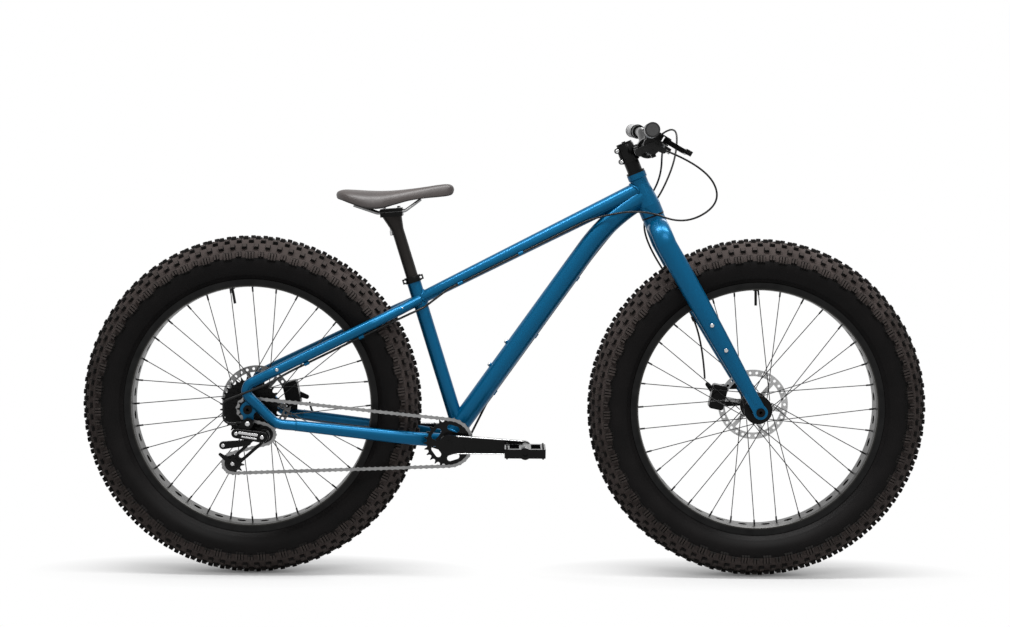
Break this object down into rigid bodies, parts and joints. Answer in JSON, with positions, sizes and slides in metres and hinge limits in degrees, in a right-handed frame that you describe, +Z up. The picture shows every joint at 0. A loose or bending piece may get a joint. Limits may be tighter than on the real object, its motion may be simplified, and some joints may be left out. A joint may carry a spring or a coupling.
{
  "type": "fat tyre bicycle",
  "caption": "Fat tyre bicycle with a welded blue frame, rigid fork, wide knobbed tyres, cable disc brakes, chain drive with a rear derailleur, flat pedals and a padded saddle.",
  "frame": {"origin": "on the ground half way between the two axles, in the bicycle's middle plane", "axes": "+X forward, +Y to the rider's left, +Z up"},
  "size_m": [1.9018, 0.7434, 1.0214],
  "materials": {
    "frame_paint": "gloss metallic blue",
    "black_metal": "black anodised satin",
    "dark_steel": "dark plated",
    "bright_steel": "brushed",
    "rim_black": "black anodised satin",
    "tyre": "matt moulded",
    "grip_rubber": "matt",
    "black_plastic": "satin",
    "cable_sheath": "gloss",
    "saddle_cover": "satin grained"
  },
  "bodies": {
    "frame": {"head_tube": "frame_paint", "top_tube": "frame_paint", "down_tube": "frame_paint", "seat_tube": "frame_paint", "bottom_bracket_shell": "frame_paint", "chainstays": "frame_paint", "seatstays": "frame_paint", "dropouts": "frame_paint", "headset_cups": "black_metal", "bottom_bracket_cups": "black_metal", "seat_collar": "black_metal", "rear_axle": "black_metal", "rear_brake_caliper": "black_metal", "frame_cables": "cable_sheath", "cable_guides": "black_plastic", "derailleur_knuckles": "black_metal", "derailleur_links": "black_metal", "chain": "bright_steel"},
    "seatpost": {"seatpost": "black_metal", "saddle_clamp": "black_metal", "saddle_rails": "bright_steel", "saddle_base": "black_plastic", "saddle_cover": "saddle_cover"},
    "steering": {"fork_crown": "frame_paint", "fork_legs": "frame_paint", "headset_spacers": "black_metal", "stem": "black_metal", "stem_faceplate": "black_metal", "handlebar": "black_metal", "grips": "grip_rubber", "brake_lever_clamps": "black_metal", "shifter_body": "black_plastic", "front_axle": "black_metal", "front_brake_caliper": "black_metal", "front_brake_cable": "cable_sheath", "cable_loops": "cable_sheath"},
    "right_brake_lever": {"right_brake_lever": "black_metal"},
    "left_brake_lever": {"left_brake_lever": "black_metal"},
    "shift_thumb_lever": {"shift_thumb_lever": "black_plastic"},
    "shift_release_lever": {"shift_release_lever": "black_plastic"},
    "front_wheel": {"front_tyre": "tyre", "front_rim": "rim_black", "front_spokes": "dark_steel", "front_hub": "black_metal", "front_rotor": "bright_steel"},
    "rear_wheel": {"rear_tyre": "tyre", "rear_rim": "rim_black", "rear_spokes": "dark_steel", "rear_hub": "black_metal", "rear_rotor": "bright_steel"},
    "cassette": {"cassette": "dark_steel"},
    "crankset": {"crank_arms": "black_metal", "chainring": "black_metal"},
    "right_pedal": {"right_pedal": "black_metal"},
    "left_pedal": {"left_pedal": "black_metal"},
    "derailleur_cage": {"derailleur_cage": "black_metal"},
    "upper_jockey_wheel": {"upper_jockey_wheel": "black_plastic"},
    "lower_jockey_wheel": {"lower_jockey_wheel": "black_plastic"},
    "front_brake_arm": {"front_brake_arm": "black_metal"},
    "rear_brake_arm": {"rear_brake_arm": "black_metal"}
  },
  "joints": [
    {"name": "steering", "type": "hinge", "parent": "frame", "child": "steering", "pos_m": [0.33052, 0, 0.81542], "axis": [-0.3827, 0, 0.9239], "range_deg": [-60, 60], "deforming": ["cable_loops"]},
    {"name": "front_wheel_spin", "type": "hinge", "parent": "steering", "child": "front_wheel", "pos_m": [0.57, 0, 0.381], "axis": [0, 1, 0], "continuous": true},
    {"name": "rear_wheel_spin", "type": "hinge", "parent": "frame", "child": "rear_wheel", "pos_m": [-0.57, 0, 0.381], "axis": [0, 1, 0], "continuous": true},
    {"name": "crank_spin", "type": "hinge", "parent": "frame", "child": "crankset", "pos_m": [-0.12427, 0, 0.306], "axis": [0, 1, 0], "continuous": true, "deforming": ["chain"]},
    {"name": "cassette_spin", "type": "hinge", "parent": "frame", "child": "cassette", "pos_m": [-0.57, -0.075, 0.381], "axis": [0, 1, 0], "continuous": true},
    {"name": "right_pedal_spin", "type": "hinge", "parent": "crankset", "child": "right_pedal", "pos_m": [0.04563, -0.15, 0.30007], "axis": [0, 1, 0], "continuous": true},
    {"name": "left_pedal_spin", "type": "hinge", "parent": "crankset", "child": "left_pedal", "pos_m": [-0.29416, 0.15, 0.31193], "axis": [0, 1, 0], "continuous": true},
    {"name": "derailleur_cage_swing", "type": "hinge", "parent": "frame", "child": "derailleur_cage", "pos_m": [-0.534, -0.0875, 0.324], "axis": [0, -1, 0], "range_deg": [-8, 40], "stiffness_Nm_per_rad": 2},
    {"name": "upper_jockey_spin", "type": "hinge", "parent": "derailleur_cage", "child": "upper_jockey_wheel", "pos_m": [-0.534, -0.0875, 0.324], "axis": [0, 1, 0], "continuous": true},
    {"name": "lower_jockey_spin", "type": "hinge", "parent": "derailleur_cage", "child": "lower_jockey_wheel", "pos_m": [-0.60532, -0.0875, 0.25826], "axis": [0, 1, 0], "continuous": true},
    {"name": "right_brake_lever_pull", "type": "hinge", "parent": "steering", "child": "right_brake_lever", "pos_m": [0.34444, -0.203, 0.98215], "axis": [-0.515, 0, -0.8572], "range_deg": [0, 25], "stiffness_Nm_per_rad": 0.8, "springref_deg": -17.19},
    {"name": "left_brake_lever_pull", "type": "hinge", "parent": "steering", "child": "left_brake_lever", "pos_m": [0.34444, 0.203, 0.98215], "axis": [0.515, 0, 0.8572], "range_deg": [0, 25], "stiffness_Nm_per_rad": 0.8, "springref_deg": -17.19},
    {"name": "front_brake_arm_turn", "type": "hinge", "parent": "steering", "child": "front_brake_arm", "pos_m": [0.48881, 0.0788, 0.39826], "axis": [0, 1, 0], "range_deg": [0, 11.25]},
    {"name": "rear_brake_arm_turn", "type": "hinge", "parent": "frame", "child": "rear_brake_arm", "pos_m": [-0.48881, 0.1008, 0.39826], "axis": [0, 1, 0], "range_deg": [0, 11.25]},
    {"name": "shift_thumb_push", "type": "hinge", "parent": "steering", "child": "shift_thumb_lever", "pos_m": [0.31531, -0.1825, 0.97223], "axis": [0, -1, 0], "range_deg": [0, 25], "stiffness_Nm_per_rad": 0.4, "springref_deg": -17.19},
    {"name": "shift_release_push", "type": "hinge", "parent": "steering", "child": "shift_release_lever", "pos_m": [0.31531, -0.1825, 0.97223], "axis": [0, 1, 0], "range_deg": [0, 15], "stiffness_Nm_per_rad": 0.4, "springref_deg": -17.19},
    {"name": "seatpost_height", "type": "slide", "parent": "frame", "child": "seatpost", "axis": [-0.2982, 0, 0.9545], "range_m": [-0.1, 0.06]}
  ],
  "couplings": [
    {"joint": "cassette_spin", "follows": "crank_spin", "ratio": 2.1667},
    {"joint": "upper_jockey_spin", "follows": "crank_spin", "ratio": -2.3636},
    {"joint": "lower_jockey_spin", "follows": "crank_spin", "ratio": 2.3636},
    {"joint": "front_brake_arm_turn", "follows": "left_brake_lever_pull", "ratio": 0.45},
    {"joint": "rear_brake_arm_turn", "follows": "right_brake_lever_pull", "ratio": 0.45}
  ]
}
